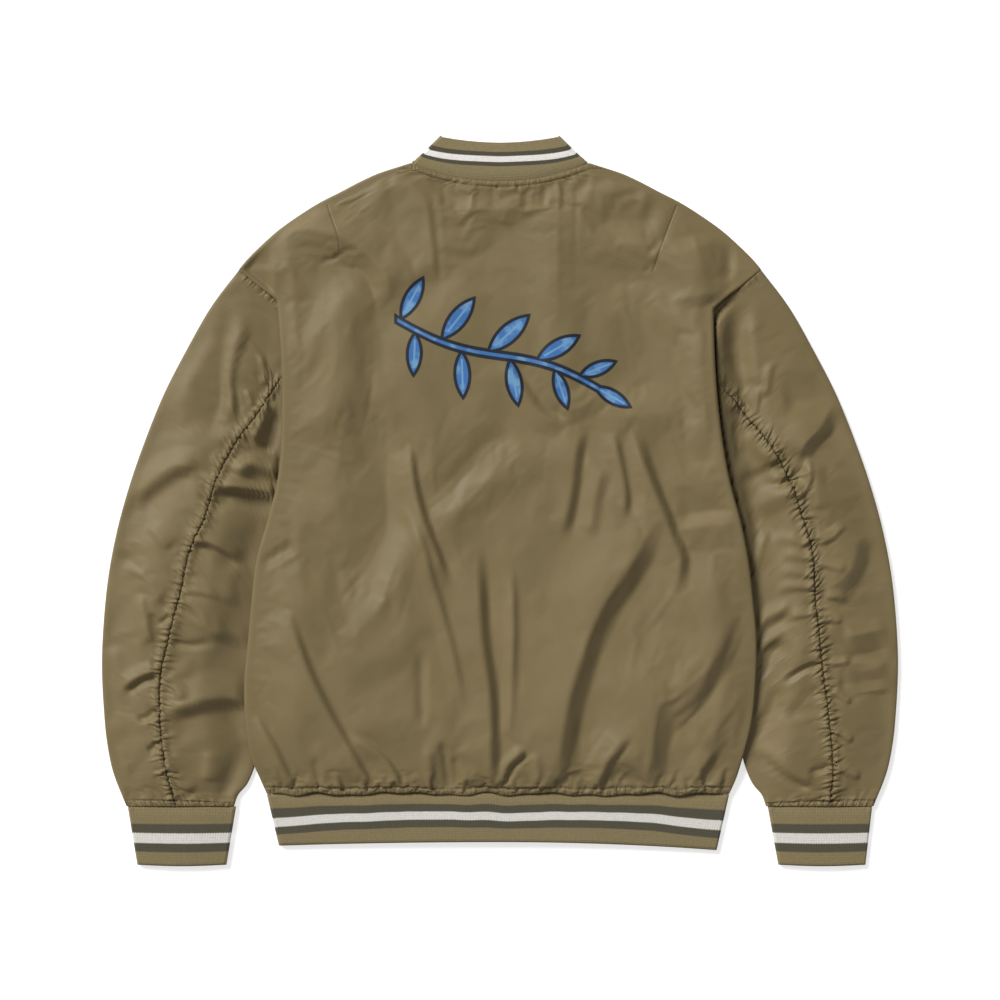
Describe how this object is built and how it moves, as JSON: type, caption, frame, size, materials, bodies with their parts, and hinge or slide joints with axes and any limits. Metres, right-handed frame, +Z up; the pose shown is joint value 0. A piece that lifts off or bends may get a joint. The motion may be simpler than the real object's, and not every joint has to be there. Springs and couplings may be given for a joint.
{
  "type": "stadium jacket",
  "caption": "Light bomber-style stadium jacket laid flat with its back up, with gathered back sleeve seams and striped rib knit collar, cuffs and hem.",
  "frame": {"origin": "centre of the bounding box's base, on the surface that the jacket lies on", "axes": "+Z up from the surface, out of the jacket's back; +Y from the hem towards the collar; X across the jacket, the wearer's left at -X"},
  "size_m": [0.8294, 0.76, 0.027],
  "materials": {
    "shell": "thin woven nylon or cotton-nylon shell, khaki brown, with a soft sheen",
    "rib": "rib knit, khaki with a white stripe between two dark grey-brown ones",
    "stud": "satin dark brass press studs"
  },
  "bodies": {
    "root": {"back_panel": "shell", "front_left": "shell", "front_right": "shell", "sleeve_left_outer": "shell", "sleeve_left_inner": "shell", "sleeve_right_outer": "shell", "sleeve_right_inner": "shell", "cuff_left": "rib", "cuff_right": "rib", "hem_rib": "rib", "collar_rib": "rib", "stud_1": "stud", "stud_2": "stud", "stud_3": "stud", "stud_4": "stud", "stud_5": "stud", "stud_6": "stud"}
  },
  "joints": []
}
